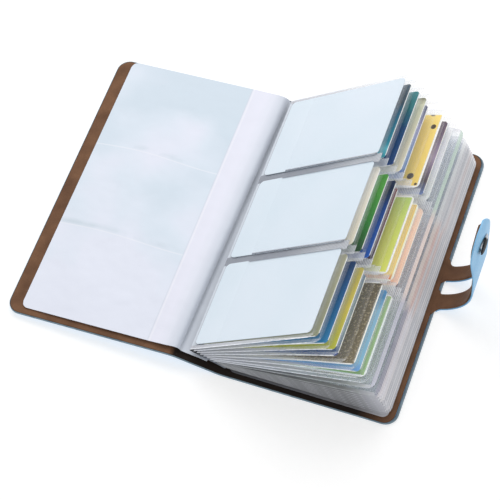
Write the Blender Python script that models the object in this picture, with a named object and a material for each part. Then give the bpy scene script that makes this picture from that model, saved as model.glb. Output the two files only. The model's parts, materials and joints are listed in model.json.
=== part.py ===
"""Business card book, lying open at its first leaf.

The origin is the middle of the back cover's underside. X runs across the open
book, Y along the spine and Z up. Sizes are in metres. Angles are in degrees, and
turn counter-clockwise as seen from the front, where the book's lower edge is.
"""

import bpy
import bmesh
from math import asin, cos, degrees, pi, radians, sin, tan

for leftover in list(bpy.data.objects):
    bpy.data.objects.remove(leftover, do_unlink=True)

# Fits
SEAT_GAP = 0.0003
CREASE_GAP = 0.0004

# Cards
CARD_LENGTH = 0.090
CARD_WIDTH = 0.054
CARD_THICKNESS = 0.0004
CARD_CORNER = 0.003
CARD_START = 0.0055
CARD_END_PLAY = 0.0005
CARD_SIDE_PLAY = 0.0005
CARD_FACE_PLAY = 0.00035

# Pocket leaves: a base film with three pockets welded on it. Empty pockets lie nearly flat
FILM = 0.00015
LEAF_CORNER = 0.005
FLAT_POCKET_HEIGHT = 0.00015
FLAT_LEAF_GAP = 0.0003
FULL_LEAF_GAP = 0.00077
FORE_WELD = 0.0025
ROW_WELD = 0.005
END_WELD = 0.003
POCKET_LENGTH = 0.074
MARGIN_START = 0.00015

# The stack of leaves: how its root line stands and how the leaves fan out from it
ROOT_OFFSET = 0.003
ROOT_STAND = 0.0015
STACK_ROOM = 0.0059
STACK_LEAN = 64.0
FULL_LEAF_COUNT = 8
FAN_ANGLES = (39.3, 37.35, 34.1, 31.3, 28.1, 24.0, 20.4, 18.2, 15.6, 10.8)
LOWER_LEAF_COUNT = 8
LOWER_FAN_TOP = 9.2
LOWER_FAN_BOTTOM = 0.6
BINDING_THICKNESS = 0.0013
BINDING_ROUND = 0.0005

# The first leaf, which lies on the front cover and is rooted on the spine
FIRST_MARGIN_SEAT = 0.0018
FIRST_MARGIN_STAND = 0.0007
FIRST_MARGIN_LENGTH = 0.016
FIRST_MARGIN_LIFT = 6.5
FIRST_LEAF_LIFT = 0.8
FIRST_FORE_OVERHANG = 0.006

# Cover sheets: a blue skin outside and a brown lining inside
SKIN_THICKNESS = 0.0009
LINING_THICKNESS = 0.0008
COVER_OVERHANG = 0.0045
FORE_OVERHANG = 0.0045
COVER_CORNER = 0.008

# How the open cover lies on the table
SPINE_RISE = 0.007
TABLE_CLEARANCE = 0.0001

# Strap: two legs with a slot between them, then a tongue with a round tip
STRAP_WIDTH = 0.030
STRAP_SLOT_WIDTH = 0.0093
STRAP_SLOT_TOP = 0.025
STRAP_EDGE_GAP = 0.0002
STRAP_START_ANGLE = 22.0
STRAP_ARC_ANGLE = 68.0
TONGUE_LENGTH = 0.063

# Snap fastener: cap and socket on the tongue, stud on the front cover
SNAP_FROM_FOLD = 0.034
FLANGE_RADIUS = 0.0055
FLANGE_THICKNESS = 0.0005
FLANGE_GAP = 0.00025
STUD_HEIGHT = 0.003
STUD_NECK_HEIGHT = 0.0003
STUD_HEAD_RADIUS = 0.0024
STUD_NECK_RADIUS = 0.0018
SOCKET_BORE_RADIUS = 0.0028
SOCKET_WALL = 0.0006
CAP_RADIUS = 0.0062
CAP_HEIGHT = 0.0016
CAP_RIM = 0.0004

# How finely round shapes are drawn
CORNER_STEPS = 4
COVER_CORNER_STEPS = 6
ARC_STEPS = 12
TIP_STEPS = 14
ROUND_STEPS = 24
DOME_STEPS = 6

# Worked out from the sizes above: leaves and stack
LEAF_COUNT = len(FAN_ANGLES) + LOWER_LEAF_COUNT
FLAT_LEAF_COUNT = LEAF_COUNT - FULL_LEAF_COUNT
POCKET_HEIGHT = CARD_THICKNESS + 2 * CARD_FACE_PLAY
POCKET_WIDTH = CARD_WIDTH + 2 * CARD_SIDE_PLAY
FULL_PITCH = 2 * FILM + POCKET_HEIGHT + FULL_LEAF_GAP
FLAT_PITCH = 2 * FILM + FLAT_POCKET_HEIGHT + FLAT_LEAF_GAP
LEAF_REACH = CARD_START + CARD_LENGTH + CARD_END_PLAY + FORE_WELD
LEAF_HEIGHT = 3 * POCKET_WIDTH + 2 * ROW_WELD + 2 * END_WELD
ROW_PITCH = POCKET_WIDTH + ROW_WELD
ROWS = (("top", ROW_PITCH), ("middle", 0.0), ("bottom", -ROW_PITCH))
STACK_HEIGHT = FULL_LEAF_COUNT * FULL_PITCH + (FLAT_LEAF_COUNT - 1) * FLAT_PITCH

# Worked out: cover
COVER_THICKNESS = SKIN_THICKNESS + SEAT_GAP + LINING_THICKNESS
LINING_BACK = -LINING_THICKNESS
SKIN_FRONT = -LINING_THICKNESS - SEAT_GAP
COVER_HEIGHT = LEAF_HEIGHT + 2 * COVER_OVERHANG
PANEL_WIDTH = ROOT_OFFSET + LEAF_REACH + FORE_OVERHANG
FIRST_LEAF_REACH = PANEL_WIDTH - FIRST_FORE_OVERHANG
SPINE_WIDTH = STACK_HEIGHT + STACK_ROOM
FIRST_MARGIN_ROOT = SPINE_WIDTH - FIRST_MARGIN_SEAT - FIRST_MARGIN_LENGTH
SPINE_TILT = degrees(asin(SPINE_RISE / SPINE_WIDTH))

# Worked out: strap. When it is wrapped, its chord spans the closed book and the snap
STRAP_CHORD = SPINE_WIDTH + COVER_THICKNESS + 2 * FLANGE_THICKNESS + 3 * FLANGE_GAP
STRAP_ARC_RADIUS = STRAP_CHORD / (2 * sin(radians(STRAP_ARC_ANGLE / 2)))
STRAP_MITRE = tan(radians(STRAP_ARC_ANGLE / 2))
SNAP_REACH = PANEL_WIDTH + STRAP_EDGE_GAP - SNAP_FROM_FOLD
STUD_DROP = SPINE_RISE - STUD_HEIGHT - TABLE_CLEARANCE
FRONT_DROOP = degrees(asin(STUD_DROP / (SNAP_REACH + FLANGE_RADIUS)))

# Colours as (red, green, blue), one row of cards for each leaf that holds them
SKIN_BLUE = (0.24, 0.55, 0.82)
LINING_BROWN = (0.16, 0.065, 0.035)
CLEAR_FILM = (0.80, 0.83, 0.88)
SNAP_STEEL = (0.62, 0.62, 0.64)
SNAP_BLACK = (0.02, 0.02, 0.02)
CARD_COLOURS = (
    ((0.76, 0.83, 0.91), (0.76, 0.83, 0.91), (0.76, 0.83, 0.91)),
    ((0.05, 0.20, 0.26), (0.72, 0.66, 0.55), (0.42, 0.42, 0.33)),
    ((0.02, 0.22, 0.28), (0.05, 0.32, 0.12), (0.02, 0.16, 0.36)),
    ((0.66, 0.62, 0.48), (0.02, 0.09, 0.30), (0.72, 0.60, 0.14)),
    ((0.22, 0.34, 0.68), (0.22, 0.04, 0.06), (0.20, 0.32, 0.60)),
    ((0.82, 0.62, 0.13), (0.58, 0.68, 0.10), (0.17, 0.14, 0.11)),
    ((0.45, 0.38, 0.52), (0.78, 0.55, 0.30), (0.22, 0.46, 0.74)),
    ((0.74, 0.76, 0.78), (0.72, 0.52, 0.48), (0.30, 0.45, 0.18)),
)


def material(name, colour, roughness, metallic=0.0, alpha=1.0):
    """A plain Principled material."""
    finish = bpy.data.materials.new(name)
    finish.use_nodes = True
    shader = finish.node_tree.nodes["Principled BSDF"]
    shader.inputs["Base Color"].default_value = (*colour, 1.0)
    shader.inputs["Roughness"].default_value = roughness
    shader.inputs["Metallic"].default_value = metallic
    shader.inputs["Alpha"].default_value = alpha
    finish.diffuse_color = (*colour, alpha)
    return finish


SKIN = material("blue_leather", SKIN_BLUE, 0.55)
LINING = material("brown_suede", LINING_BROWN, 0.85)
CLEAR = material("clear_film", CLEAR_FILM, 0.25, alpha=0.35)
STEEL = material("snap_steel", SNAP_STEEL, 0.25, metallic=1.0)
BLACK = material("snap_black", SNAP_BLACK, 0.35)


def fold(name, parent, x, z, turn):
    """An empty on a fold's axis, which runs along Y. What turns there hangs from it."""
    axis = bpy.data.objects.new(name, None)
    axis.empty_display_size = 0.01
    axis.parent = parent
    axis.location = (x, 0.0, z)
    axis.rotation_euler = (0.0, -radians(turn), 0.0)
    bpy.context.collection.objects.link(axis)
    return axis


def place(name, mesh, parent, finish, location=(0.0, 0.0, 0.0), faces_left=False):
    """One object that shows a mesh. One that faces left runs towards -X from its fold."""
    piece = bpy.data.objects.new(name, mesh)
    if not mesh.materials:
        mesh.materials.append(finish)
    piece.parent = parent
    piece.location = location
    piece.rotation_euler = (0.0, 0.0, pi if faces_left else 0.0)
    bpy.context.collection.objects.link(piece)
    return piece


def finished(bm, name, smooth_angle=None):
    """Mesh data from a bmesh, its faces outward and its round sides smooth if asked."""
    bmesh.ops.recalc_face_normals(bm, faces=bm.faces)
    mesh = bpy.data.meshes.new(name)
    bm.to_mesh(mesh)
    bm.free()
    if smooth_angle is not None:
        mesh.shade_smooth()
        mesh.set_sharp_from_angle(angle=radians(smooth_angle))
    return mesh


def arc(centre, radius, start, end, steps):
    """Points along an arc, from start to end degrees."""
    turns = [radians(start + (end - start) * i / steps) for i in range(steps + 1)]
    return [(centre[0] + radius * cos(t), centre[1] + radius * sin(t)) for t in turns]


def sheet_outline(inner, outer, height, corner=0.0, steps=CORNER_STEPS):
    """A sheet's outline: square at its inner edge, its outer corners rounded if asked."""
    half = height / 2
    points = [(inner, half), (inner, -half)]
    if corner:
        points += arc((outer - corner, corner - half), corner, -90, 0, steps)
        points += arc((outer - corner, half - corner), corner, 0, 90, steps)
    else:
        points += [(outer, -half), (outer, half)]
    return points


def loop(bm, points, level):
    """Vertices of a flat outline at one level."""
    return [bm.verts.new((x, y, level)) for x, y in points]


def walls(bm, low, high, closed=True):
    """Faces between two loops of vertices."""
    count = len(low) if closed else len(low) - 1
    for i in range(count):
        j = (i + 1) % len(low)
        bm.faces.new((low[i], low[j], high[j], high[i]))


def fill_between(bm, loops):
    """Fill the flat area inside the first loop and outside the others."""
    edges = []
    for ring in loops:
        for i, vert in enumerate(ring):
            after = ring[(i + 1) % len(ring)]
            edges.append(bm.edges.get((vert, after)) or bm.edges.new((vert, after)))
    bmesh.ops.triangle_fill(bm, edges=edges, use_beauty=True)


def sheet_mesh(name, low, high, *outlines):
    """A flat sheet between two levels. Outlines after the first are holes in it."""
    bm = bmesh.new()
    bottoms = [loop(bm, points, low) for points in outlines]
    tops = [loop(bm, points, high) for points in outlines]
    for bottom, top in zip(bottoms, tops):
        walls(bm, bottom, top)
    fill_between(bm, bottoms)
    fill_between(bm, tops)
    return finished(bm, name)


def bar_mesh(name, profile, width, smooth_angle=None):
    """A bar along Y with one (x, z) profile."""
    bm = bmesh.new()
    front = [bm.verts.new((x, -width / 2, z)) for x, z in profile]
    back = [bm.verts.new((x, width / 2, z)) for x, z in profile]
    walls(bm, front, back)
    fill_between(bm, [front])
    fill_between(bm, [back])
    return finished(bm, name, smooth_angle)


def turned_mesh(name, profile):
    """A closed solid turned about Z from a (radius, z) profile that starts and ends at 0."""
    bm = bmesh.new()
    turns = [2 * pi * i / ROUND_STEPS for i in range(ROUND_STEPS)]
    rings = [loop(bm, [(r * cos(t), r * sin(t)) for t in turns], z) for r, z in profile[1:-1]]
    for low, high in zip(rings, rings[1:]):
        walls(bm, low, high)
    bm.faces.new(rings[0])
    bm.faces.new(rings[-1])
    return finished(bm, name, smooth_angle=35)


# Cover: two panels and a spine, each a skin and a lining, with creases between them
def cover_part(name, parent, outline, faces_left=False):
    """Skin and lining of one part of the cover, with its inner face at level 0."""
    skin = sheet_mesh(name + "_skin", -COVER_THICKNESS, SKIN_FRONT, outline)
    lining = sheet_mesh(name + "_lining", LINING_BACK, 0.0, outline)
    place(name + "_skin", skin, parent, SKIN, faces_left=faces_left)
    place(name + "_lining", lining, parent, LINING, faces_left=faces_left)


back_cover = fold("back_cover_frame", None, -PANEL_WIDTH / 2, COVER_THICKNESS, 0.0)
spine = fold("close_book_axis", back_cover, 0.0, 0.0, -SPINE_TILT)
front_cover = fold("front_cover_axis", spine, -SPINE_WIDTH, 0.0, SPINE_TILT + FRONT_DROOP)
panel = sheet_outline(CREASE_GAP, PANEL_WIDTH, COVER_HEIGHT, COVER_CORNER, COVER_CORNER_STEPS)
cover_part("back_cover", back_cover, panel)
cover_part("spine", spine, sheet_outline(CREASE_GAP, SPINE_WIDTH - CREASE_GAP, COVER_HEIGHT), True)
cover_part("front_cover", front_cover, panel, True)


# Binding: the bar that the leaves' inner edges are welded to, leaning while the book is open
def binding_profile():
    """A flat bar behind the leaves' roots, with its back corners rounded."""
    front = -SEAT_GAP
    back = front - BINDING_THICKNESS
    low = SEAT_GAP
    high = STACK_HEIGHT - SEAT_GAP
    points = [(front, low), (front, high)]
    centre_x = back + BINDING_ROUND
    points += arc((centre_x, high - BINDING_ROUND), BINDING_ROUND, 90, 180, CORNER_STEPS)
    points += arc((centre_x, low + BINDING_ROUND), BINDING_ROUND, 180, 270, CORNER_STEPS)
    return points


binding = fold("binding_axis", back_cover, ROOT_OFFSET, ROOT_STAND, STACK_LEAN)
place("binding_strip", bar_mesh("binding_strip", binding_profile(), LEAF_HEIGHT), binding, CLEAR)


# Pocket leaves and the cards in them
def pocket_wall(middle, mouth, end, outward):
    """The path of one pocket's wall, round its outer end from one side of the mouth to the other."""
    half = POCKET_WIDTH / 2 + outward
    radius = CARD_CORNER + outward
    centre_x = end - CARD_CORNER
    low = middle - half
    high = middle + half
    path = [(mouth, low)]
    path += arc((centre_x, low + radius), radius, -90, 0, CORNER_STEPS)
    path += arc((centre_x, high - radius), radius, 0, 90, CORNER_STEPS)
    return path + [(mouth, high)]


def pocket_leaf_mesh(name, inner, reach, pocket_height):
    """A clear leaf: a base film and three shallow pockets, open at their mouths."""
    bm = bmesh.new()
    floor = FILM / 2
    ceiling = floor + pocket_height
    outline = sheet_outline(inner, reach, LEAF_HEIGHT, LEAF_CORNER)
    bottom = loop(bm, outline, -floor)
    rim = loop(bm, outline, floor)
    bm.faces.new(bottom)
    walls(bm, bottom, rim)
    footprints = []
    end = reach - FORE_WELD
    for _, middle in ROWS:
        inside = pocket_wall(middle, end - POCKET_LENGTH, end, 0.0)
        outside = pocket_wall(middle, end - POCKET_LENGTH, end, FILM)
        inner_floor = loop(bm, inside, floor)
        inner_top = loop(bm, inside, ceiling)
        outer_floor = loop(bm, outside, floor)
        outer_top = loop(bm, outside, ceiling + FILM)
        walls(bm, inner_floor, inner_top, closed=False)
        walls(bm, outer_floor, outer_top, closed=False)
        bm.faces.new(inner_top)
        bm.faces.new(outer_top)
        for side in (0, -1):
            post = (outer_floor[side], inner_floor[side], inner_top[side], outer_top[side])
            bm.faces.new(post)
        bm.faces.new((inner_top[0], inner_top[-1], outer_top[-1], outer_top[0]))
        footprints.append(outer_floor + inner_floor[::-1])
    fill_between(bm, [rim] + footprints)
    return finished(bm, name)


def margin_mesh(name, length):
    """The strip of plain film between a leaf's root and the fold where it turns."""
    outline = sheet_outline(MARGIN_START, length - MARGIN_START, LEAF_HEIGHT)
    return sheet_mesh(name, -FILM / 2, FILM / 2, outline)


def card_mesh(name):
    """A card with round corners, lying in its pocket in the leaf's own coordinates."""
    side = CARD_WIDTH / 2 - CARD_CORNER
    left = CARD_START + CARD_CORNER
    right = CARD_START + CARD_LENGTH - CARD_CORNER
    outline = arc((right, side), CARD_CORNER, 0, 90, CORNER_STEPS)
    outline += arc((left, side), CARD_CORNER, 90, 180, CORNER_STEPS)
    outline += arc((left, -side), CARD_CORNER, 180, 270, CORNER_STEPS)
    outline += arc((right, -side), CARD_CORNER, 270, 360, CORNER_STEPS)
    low = FILM / 2 + CARD_FACE_PLAY
    return sheet_mesh(name, low, low + CARD_THICKNESS, outline)


def leaf_angle(number):
    """How far a leaf is lifted, leaf 1 being the top one."""
    if number <= len(FAN_ANGLES):
        return FAN_ANGLES[number - 1]
    share = (number - len(FAN_ANGLES) - 1) / (LOWER_LEAF_COUNT - 1)
    return LOWER_FAN_TOP + (LOWER_FAN_BOTTOM - LOWER_FAN_TOP) * share


def root_height(number):
    """Where a leaf is rooted on the binding, counted from the lowest leaf's root."""
    if number > FULL_LEAF_COUNT:
        return (LEAF_COUNT - number) * FLAT_PITCH
    return STACK_HEIGHT - (number - 1) * FULL_PITCH


# The first leaf is empty. Its margin lies on the spine, and it folds over the left crease
margin_z = FIRST_MARGIN_STAND
first_margin = fold("leaf_00_margin_axis", spine, -FIRST_MARGIN_ROOT, margin_z, -FIRST_MARGIN_LIFT)
first_turn = FIRST_MARGIN_LIFT + SPINE_TILT + FRONT_DROOP + FIRST_LEAF_LIFT
first_leaf = fold("leaf_00_axis", first_margin, -FIRST_MARGIN_LENGTH, 0.0, first_turn)
first_margin_mesh = margin_mesh("leaf_00_margin", FIRST_MARGIN_LENGTH)
first_leaf_mesh = pocket_leaf_mesh("leaf_00", MARGIN_START, FIRST_LEAF_REACH, FLAT_POCKET_HEIGHT)
place("leaf_00_margin", first_margin_mesh, first_margin, CLEAR, faces_left=True)
place("leaf_00", first_leaf_mesh, first_leaf, CLEAR, faces_left=True)

# The other leaves are rooted on the binding. The top one lies on the next, and turns over
# from there to the first leaf
full_leaf_mesh = pocket_leaf_mesh("full_leaf", MARGIN_START, LEAF_REACH, POCKET_HEIGHT)
flat_leaf_mesh = pocket_leaf_mesh("flat_leaf", MARGIN_START, LEAF_REACH, FLAT_POCKET_HEIGHT)
for number in range(1, LEAF_COUNT + 1):
    label = f"leaf_{number:02d}"
    root = fold(label + "_root", binding, 0.0, root_height(number), leaf_angle(number) - STACK_LEAN)
    leaf_mesh = full_leaf_mesh if number <= FULL_LEAF_COUNT else flat_leaf_mesh
    place(label, leaf_mesh, root, CLEAR)
    if number <= FULL_LEAF_COUNT:
        for (row, middle), colour in zip(ROWS, CARD_COLOURS[number - 1]):
            card = f"card_{number:02d}_{row}"
            finish = material(card, colour, 0.35)
            place(card, card_mesh(card), root, finish, location=(0.0, middle, 0.0))


# Strap: its legs curve up from the back cover's fore edge, and its tongue stands on them
STRAP_CENTRE = (
    -STRAP_ARC_RADIUS * sin(radians(STRAP_START_ANGLE)),
    STRAP_ARC_RADIUS * cos(radians(STRAP_START_ANGLE)),
)
STRAP_FOLD_ANGLE = STRAP_START_ANGLE + STRAP_ARC_ANGLE


def leg_profile(*depths):
    """The curved legs' profile between two depths from the strap's inner face.

    Its upper end slants back with depth, so the tongue can fold outward."""
    trim = degrees(SEAT_GAP / STRAP_ARC_RADIUS)
    start = STRAP_START_ANGLE - 90 + trim
    sides = []
    for depth in depths:
        radius = STRAP_ARC_RADIUS + depth
        end = STRAP_FOLD_ANGLE - 90 - trim - degrees(depth * STRAP_MITRE / radius)
        sides.append(arc(STRAP_CENTRE, radius, start, end, ARC_STEPS))
    return sides[0] + sides[1][::-1]


def mitred(sheet, start):
    """A sheet with its inner end slanted back with depth, as the legs' upper end is."""
    for vert in sheet.vertices:
        if vert.co.x < 2 * start:
            vert.co.x = start - vert.co.z * STRAP_MITRE
    return sheet


def slot_cutter(parent):
    """A block along X with a round top, for the slot between the strap's legs."""
    half = STRAP_SLOT_WIDTH / 2
    outline = [(-half, -2 * COVER_THICKNESS), (half, -2 * COVER_THICKNESS)]
    outline += arc((0.0, STRAP_SLOT_TOP - half), half, 0, 180, ARC_STEPS)
    bm = bmesh.new()
    near = [bm.verts.new((-COVER_THICKNESS, y, z)) for y, z in outline]
    far = [bm.verts.new((STRAP_ARC_RADIUS, y, z)) for y, z in outline]
    walls(bm, near, far)
    bm.faces.new(near)
    bm.faces.new(far)
    block = place("strap_slot_cutter", finished(bm, "strap_slot_cutter"), parent, BLACK)
    block.hide_render = True
    block.display_type = "WIRE"
    return block


def strap_legs(name, parent, slot, profile, finish):
    """One layer of the two legs, joined above their slot."""
    legs = place(name, bar_mesh(name, profile, STRAP_WIDTH, smooth_angle=30), parent, finish)
    cut = legs.modifiers.new("slot", "BOOLEAN")
    cut.operation = "DIFFERENCE"
    cut.solver = "EXACT"
    cut.object = slot


strap = fold("strap_axis", back_cover, PANEL_WIDTH + STRAP_EDGE_GAP, 0.0, 0.0)
slot = slot_cutter(strap)
strap_legs("strap_legs_skin", strap, slot, leg_profile(-SKIN_FRONT, COVER_THICKNESS), SKIN)
strap_legs("strap_legs_lining", strap, slot, leg_profile(0.0, LINING_THICKNESS), LINING)

fold_turn = radians(STRAP_FOLD_ANGLE)
fold_x = STRAP_CENTRE[0] + STRAP_ARC_RADIUS * sin(fold_turn)
fold_z = STRAP_CENTRE[1] - STRAP_ARC_RADIUS * cos(fold_turn)
tongue = fold("tongue_axis", strap, fold_x, fold_z, STRAP_FOLD_ANGLE)
tip_radius = STRAP_WIDTH / 2
tongue_outline = [(SEAT_GAP, tip_radius), (SEAT_GAP, -tip_radius)]
tongue_outline += arc((TONGUE_LENGTH - tip_radius, 0.0), tip_radius, -90, 90, TIP_STEPS)
tube_radius = SOCKET_BORE_RADIUS + SOCKET_WALL
snap_hole = arc((SNAP_FROM_FOLD, 0.0), tube_radius + SEAT_GAP, 0, 360, ROUND_STEPS)[1:]
tongue_skin = sheet_mesh("strap_tongue_skin", -COVER_THICKNESS, SKIN_FRONT, tongue_outline, snap_hole)
tongue_lining = sheet_mesh("strap_tongue_lining", LINING_BACK, 0.0, tongue_outline, snap_hole)
place("strap_tongue_skin", mitred(tongue_skin, SEAT_GAP), tongue, SKIN)
place("strap_tongue_lining", mitred(tongue_lining, SEAT_GAP), tongue, LINING)


# Snap: the stud stands on the front cover's skin and goes into the socket in the tongue
def stud_profile():
    """A flange, a neck and a rounded head, pointing away from the cover."""
    flange = -COVER_THICKNESS - FLANGE_GAP
    neck = flange - FLANGE_THICKNESS
    head = neck - STUD_NECK_HEIGHT
    tip = -COVER_THICKNESS - STUD_HEIGHT
    step = STUD_HEAD_RADIUS - STUD_NECK_RADIUS
    return [
        (0.0, flange),
        (FLANGE_RADIUS, flange),
        (FLANGE_RADIUS, neck),
        (STUD_NECK_RADIUS, neck),
        (STUD_NECK_RADIUS, head),
        (STUD_HEAD_RADIUS, head - step),
        (STUD_HEAD_RADIUS, tip + step),
        (STUD_NECK_RADIUS, tip),
        (0.0, tip),
    ]


def socket_profile():
    """A flange on the tongue's lining, and a tube through the leather that is closed outside."""
    mouth = FLANGE_GAP + FLANGE_THICKNESS
    bore_end = FLANGE_THICKNESS - COVER_THICKNESS
    return [
        (0.0, -COVER_THICKNESS),
        (tube_radius, -COVER_THICKNESS),
        (tube_radius, FLANGE_GAP),
        (FLANGE_RADIUS, FLANGE_GAP),
        (FLANGE_RADIUS, mouth),
        (SOCKET_BORE_RADIUS, mouth),
        (SOCKET_BORE_RADIUS, bore_end),
        (0.0, bore_end),
    ]


def cap_profile():
    """A low dome on the tongue's skin, with an upright rim."""
    base = -COVER_THICKNESS - FLANGE_GAP
    rim = base - CAP_RIM
    rise = CAP_RIM - CAP_HEIGHT
    dome = [pi / 2 * i / DOME_STEPS for i in range(DOME_STEPS)]
    profile = [(0.0, base), (CAP_RADIUS, base)]
    profile += [(CAP_RADIUS * cos(t), rim + rise * sin(t)) for t in dome]
    return profile + [(0.0, rim + rise)]


stud_place = (-SNAP_REACH, 0.0, 0.0)
snap_place = (SNAP_FROM_FOLD, 0.0, 0.0)
place("snap_stud", turned_mesh("snap_stud", stud_profile()), front_cover, STEEL, stud_place)
place("snap_socket", turned_mesh("snap_socket", socket_profile()), tongue, STEEL, snap_place)
place("snap_cap", turned_mesh("snap_cap", cap_profile()), tongue, BLACK, snap_place)
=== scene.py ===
"""Business card book, lying open at its first leaf, with its strap standing up."""

import bmesh
import bpy
import json
import numpy as np
from math import atan2, cos, pi, radians, sin, sqrt
from mathutils import Matrix, Vector


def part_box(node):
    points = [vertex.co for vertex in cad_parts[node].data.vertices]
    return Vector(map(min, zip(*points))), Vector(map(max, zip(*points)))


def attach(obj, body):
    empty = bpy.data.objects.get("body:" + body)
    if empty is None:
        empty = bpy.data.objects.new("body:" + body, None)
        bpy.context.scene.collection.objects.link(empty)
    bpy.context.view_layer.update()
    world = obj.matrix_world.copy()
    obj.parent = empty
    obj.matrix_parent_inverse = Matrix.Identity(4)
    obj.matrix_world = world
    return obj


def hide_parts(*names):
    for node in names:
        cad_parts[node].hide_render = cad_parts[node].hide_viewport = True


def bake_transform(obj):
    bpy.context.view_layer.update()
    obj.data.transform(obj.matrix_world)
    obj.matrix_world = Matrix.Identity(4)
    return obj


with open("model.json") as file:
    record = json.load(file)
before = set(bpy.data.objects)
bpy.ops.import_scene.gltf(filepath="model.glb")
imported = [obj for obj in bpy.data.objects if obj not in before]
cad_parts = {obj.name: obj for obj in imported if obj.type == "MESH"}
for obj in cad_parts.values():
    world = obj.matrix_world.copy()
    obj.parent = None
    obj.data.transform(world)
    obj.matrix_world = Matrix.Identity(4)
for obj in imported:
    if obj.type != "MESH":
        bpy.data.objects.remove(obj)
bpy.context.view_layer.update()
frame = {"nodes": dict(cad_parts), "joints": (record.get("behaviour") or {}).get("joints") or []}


# Cover: blue leather outside and brown suede inside, glued back to back. The leather is
# turned up round the suede's edge, furthest at the back cover's fore edge, and its cut edge
# is painted. Two soft creases let the sheet bend round the spine.
CREASE_EASE = 0.0035
START_STEPS = 3
CREASE_STEPS = 8
PANEL_STEP = 0.008
CORNER_ROUND = 0.008
CORNER_STEPS = 10
CROSS_STEPS = 24
TURNED_EDGE = 0.0003
FORE_TURN = 3.5
PAINTED_RINGS = (2, 8)
LINING_GAP = 0.0002
SHARP_CORNER = radians(50)
SAME_POINT = 1e-7

hinge_at = {j["name"]: Vector(j["pos_m"]) for j in frame["joints"] if j["type"] == "hinge"}
back_low, back_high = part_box("back_cover_skin")
back_crease = hinge_at["close_book"]
front_crease = hinge_at["front_cover_fold"]
cover_thickness = back_crease.z - back_low.z
cover_half = (back_high.y - back_low.y) / 2


def seen(red, green, blue):
    """A colour given as it shows on screen, 0 to 255, turned into shader values."""
    parts = [value / 255 for value in (red, green, blue)]
    return tuple((v + 0.055) ** 2.4 / 1.055**2.4 if v > 0.04 else v / 12.92 for v in parts)


def new_material(name, roughness):
    """A material, its node tree and its Principled shader."""
    made = bpy.data.materials.new(name)
    made.use_nodes = True
    shader = made.node_tree.nodes["Principled BSDF"]
    shader.inputs["Roughness"].default_value = roughness
    return made, made.node_tree, shader


def feed(tree, socket, value):
    """Sets a socket to a number or colour, or links another node's output to it."""
    if isinstance(value, bpy.types.NodeSocket):
        tree.links.new(value, socket)
    else:
        socket.default_value = value


def maths(tree, operation, *values):
    """One Math node's output."""
    node = tree.nodes.new("ShaderNodeMath")
    node.operation = operation
    for socket, value in zip(node.inputs, values):
        feed(tree, socket, value)
    return node.outputs[0]


def times(tree, first, second):
    """One value times another."""
    return maths(tree, "MULTIPLY", first, second)


def plus(tree, first, second):
    """Two values added."""
    return maths(tree, "ADD", first, second)


def minus(tree, first, second):
    """The first value less the second."""
    return maths(tree, "SUBTRACT", first, second)


def most(tree, first, second):
    """The larger of two values."""
    return maths(tree, "MAXIMUM", first, second)


def own_place(tree, middle=(0.0, 0.0, 0.0), lift=0.0, stretch=(1.0, 1.0, 1.0)):
    """Where a point is on its piece: from a middle, along the piece's lie, in stretched units."""
    place = tree.nodes.new("ShaderNodeTexCoord")
    turned = tree.nodes.new("ShaderNodeMapping")
    turned.vector_type = "TEXTURE"
    turned.inputs["Location"].default_value = middle
    turned.inputs["Rotation"].default_value = (0.0, -lift, 0.0)
    turned.inputs["Scale"].default_value = stretch
    tree.links.new(place.outputs["Object"], turned.inputs["Vector"])
    return turned.outputs["Vector"]


def parts_of(tree, place):
    """A place's x, y and z."""
    node = tree.nodes.new("ShaderNodeSeparateXYZ")
    tree.links.new(place, node.inputs["Vector"])
    return node.outputs["X"], node.outputs["Y"], node.outputs["Z"]


def grain(tree, place, size, detail=3.0):
    """Noise with blotches of about one size, in metres."""
    node = tree.nodes.new("ShaderNodeTexNoise")
    tree.links.new(place, node.inputs["Vector"])
    node.inputs["Scale"].default_value = 1 / size
    node.inputs["Detail"].default_value = detail
    return node.outputs["Fac"]


def ramp(tree, factor, *stops):
    """Colours along a factor, as (place, colour) stops."""
    node = tree.nodes.new("ShaderNodeValToRGB")
    tree.links.new(factor, node.inputs["Fac"])
    band = node.color_ramp.elements
    while len(band) < len(stops):
        band.new(1.0)
    for element, (position, colour) in zip(band, stops):
        element.position = position
        element.color = (*colour, 1.0)
    return node.outputs["Color"]


def tones(tree, factor, *stops):
    """A ramp of colours that are given as they show on screen."""
    return ramp(tree, factor, *[(at, seen(*tone)) for at, tone in stops])


def mottled(tree, patches, first, second):
    """Blotches that run between two colours."""
    return tones(tree, patches, (0.3, first), (0.7, second))


def mixed(tree, factor, first, second):
    """The first colour where the factor is 0 and the second where it is 1."""
    node = tree.nodes.new("ShaderNodeMix")
    node.data_type = "RGBA"
    feed(tree, node.inputs["Factor"], factor)
    for socket, colour in zip((node.inputs["A"], node.inputs["B"]), (first, second)):
        linked = isinstance(colour, bpy.types.NodeSocket)
        feed(tree, socket, colour if linked else (*seen(*colour), 1.0))
    return node.outputs["Result"]


def bump(tree, shader, height, depth):
    """Raises a shader's surface by a height pattern, to a depth in metres."""
    node = tree.nodes.new("ShaderNodeBump")
    node.inputs["Distance"].default_value = depth
    tree.links.new(height, node.inputs["Height"])
    tree.links.new(node.outputs["Normal"], shader.inputs["Normal"])


def paint(tree, shader, colour):
    """Gives a shader its surface colour."""
    tree.links.new(colour, shader.inputs["Base Color"])


def past(tree, value, start, width):
    """0 below a start, rising to 1 over a width."""
    share = maths(tree, "DIVIDE", minus(tree, value, start), width)
    return maths(tree, "MINIMUM", most(tree, share, 0.0), 1.0)


def short_of(tree, value, start, width):
    """1 below a start, falling to 0 over a width."""
    return minus(tree, 1.0, past(tree, value, start, width))


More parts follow.
